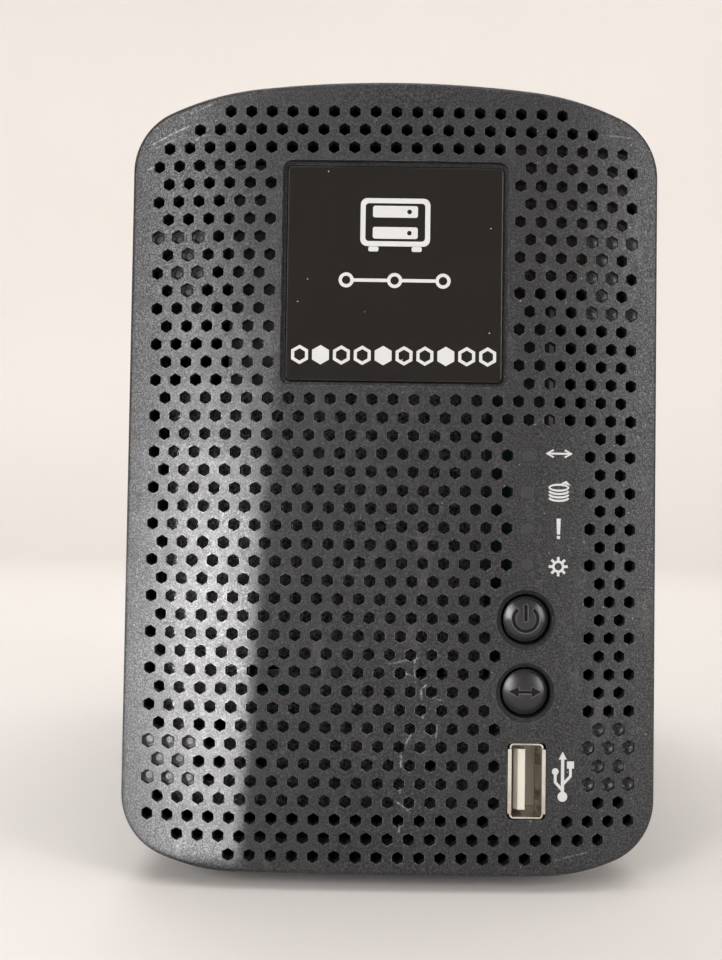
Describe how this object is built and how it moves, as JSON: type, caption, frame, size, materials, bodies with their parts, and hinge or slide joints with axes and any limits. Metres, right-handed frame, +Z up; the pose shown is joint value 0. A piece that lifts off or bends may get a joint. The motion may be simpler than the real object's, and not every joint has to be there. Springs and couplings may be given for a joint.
{
  "type": "network attached storage",
  "caption": "Upright black desktop network storage box with a honeycomb front, glossy badge, round buttons, a front socket, and drives and a fan inside.",
  "frame": {"origin": "on the table surface under the middle of the box", "axes": "+X to the right seen from the front, +Y from the front to the rear, +Z up"},
  "size_m": [0.095, 0.2, 0.143],
  "materials": {
    "bezel_plastic": "fine spark-eroded texture, semi-matte",
    "casing_plastic": "fine spark-eroded texture, semi-matte",
    "badge_gloss": "polished, with fine scratches",
    "button_plastic": "satin",
    "window_smoke": "smoked light pipe, flush",
    "led_body": "clear resin on white ceramic",
    "switch_black": "moulded",
    "switch_stem": "moulded",
    "board_green": "solder mask, satin",
    "screw_steel": "zinc plated",
    "filter_foam": "open-cell filter foam, matt",
    "screw_black": "black oxide",
    "usb_steel": "nickel plated",
    "usb_insert": "moulded, off-white",
    "contact_gold": "gold flash",
    "foot_rubber": "matt",
    "cage_steel": "galvanised sheet",
    "drive_casting": "cast and machined",
    "drive_lid": "stamped, satin",
    "platter": "polished",
    "arm_aluminium": "machined",
    "yoke_steel": "nickel plated",
    "magnet": "nickel plated",
    "drive_board": "solder mask, satin",
    "chip_black": "moulded epoxy",
    "heatsink_aluminium": "extruded, anodised",
    "capacitor_sleeve": "sleeved can",
    "cell_steel": "plated",
    "connector_black": "moulded",
    "jack_shield": "tin plated",
    "pin_metal": "nickel plated",
    "ribbon": "flat flexible cable",
    "panel_paint": "fine powder coat",
    "fan_plastic": "moulded",
    "shaft_steel": "ground",
    "stator_copper": "enamelled copper windings",
    "lead_sleeve": "vinyl"
  },
  "bodies": {
    "chassis": {"front_bezel": "bezel_plastic", "badge_plate": "badge_gloss", "tact_switches": "switch_black", "indicator_windows": "window_smoke", "indicator_leds": "led_body", "front_board": "board_green", "dust_screens": "filter_foam", "usb_shells": "usb_steel", "usb_inserts": "usb_insert", "usb_contacts": "contact_gold", "top_cover": "casing_plastic", "base_shell": "casing_plastic", "rubber_feet": "foot_rubber", "drive_cage": "cage_steel", "drive_tray": "cage_steel", "cage_screws": "screw_steel", "drive_screws": "screw_steel", "magnet_yokes": "yoke_steel", "magnets": "magnet", "lid_screws": "screw_steel", "main_board": "board_green", "board_screws": "screw_steel", "processor": "chip_black", "heatsink": "heatsink_aluminium", "memory_chips": "chip_black", "capacitors": "capacitor_sleeve", "cell_holder": "connector_black", "coin_cell": "cell_steel", "lan_jack": "jack_shield", "lan_contacts": "contact_gold", "power_inlet": "connector_black", "inlet_pin": "pin_metal", "reset_switch": "switch_black", "backplane": "board_green", "board_connectors": "connector_black", "sata_sockets": "connector_black", "front_ribbon": "ribbon", "rear_panel": "panel_paint", "rear_screws": "screw_black", "fan_screws": "screw_black", "fan_frame": "fan_plastic", "fan_stator": "stator_copper", "fan_lead": "lead_sleeve", "drive_1_base": "drive_casting", "drive_1_lid": "drive_lid", "drive_1_board": "drive_board", "drive_2_base": "drive_casting", "drive_2_lid": "drive_lid", "drive_2_board": "drive_board"},
    "power_key": {"power_button": "button_plastic", "power_switch_plunger": "switch_stem"},
    "transfer_key": {"transfer_button": "button_plastic", "transfer_switch_plunger": "switch_stem"},
    "reset_key": {"reset_button": "button_plastic"},
    "fan_impeller": {"fan_rotor": "fan_plastic", "fan_shaft": "shaft_steel"},
    "drive_1_spindle": {"drive_1_platters": "platter"},
    "drive_2_spindle": {"drive_2_platters": "platter"},
    "drive_1_arm": {"drive_1_head_arm": "arm_aluminium"},
    "drive_2_arm": {"drive_2_head_arm": "arm_aluminium"}
  },
  "joints": [
    {"name": "power_press", "type": "slide", "parent": "chassis", "child": "power_key", "axis": [0, 1, 0], "range_m": [0, 0.0006], "stiffness_N_per_m": 1500, "springref_m": -0.0006},
    {"name": "transfer_press", "type": "slide", "parent": "chassis", "child": "transfer_key", "axis": [0, 1, 0], "range_m": [0, 0.0006], "stiffness_N_per_m": 1500, "springref_m": -0.0006},
    {"name": "reset_press", "type": "slide", "parent": "chassis", "child": "reset_key", "axis": [0, -1, 0], "range_m": [0, 0.0004], "stiffness_N_per_m": 1500, "springref_m": -0.0004},
    {"name": "fan_spin", "type": "hinge", "parent": "chassis", "child": "fan_impeller", "pos_m": [0, 0.0895, 0.085], "axis": [0, 1, 0], "continuous": true},
    {"name": "drive_1_spin", "type": "hinge", "parent": "chassis", "child": "drive_1_spindle", "pos_m": [-0.0171, -0.0322, 0.0801], "axis": [1, 0, 0], "continuous": true},
    {"name": "drive_1_seek", "type": "hinge", "parent": "chassis", "child": "drive_1_arm", "pos_m": [-0.0171, 0.033, 0.0953], "axis": [-1, 0, 0], "range_deg": [0, 36]},
    {"name": "drive_2_spin", "type": "hinge", "parent": "chassis", "child": "drive_2_spindle", "pos_m": [0.019, -0.0322, 0.0801], "axis": [1, 0, 0], "continuous": true},
    {"name": "drive_2_seek", "type": "hinge", "parent": "chassis", "child": "drive_2_arm", "pos_m": [0.019, 0.033, 0.0953], "axis": [-1, 0, 0], "range_deg": [0, 36]}
  ]
}
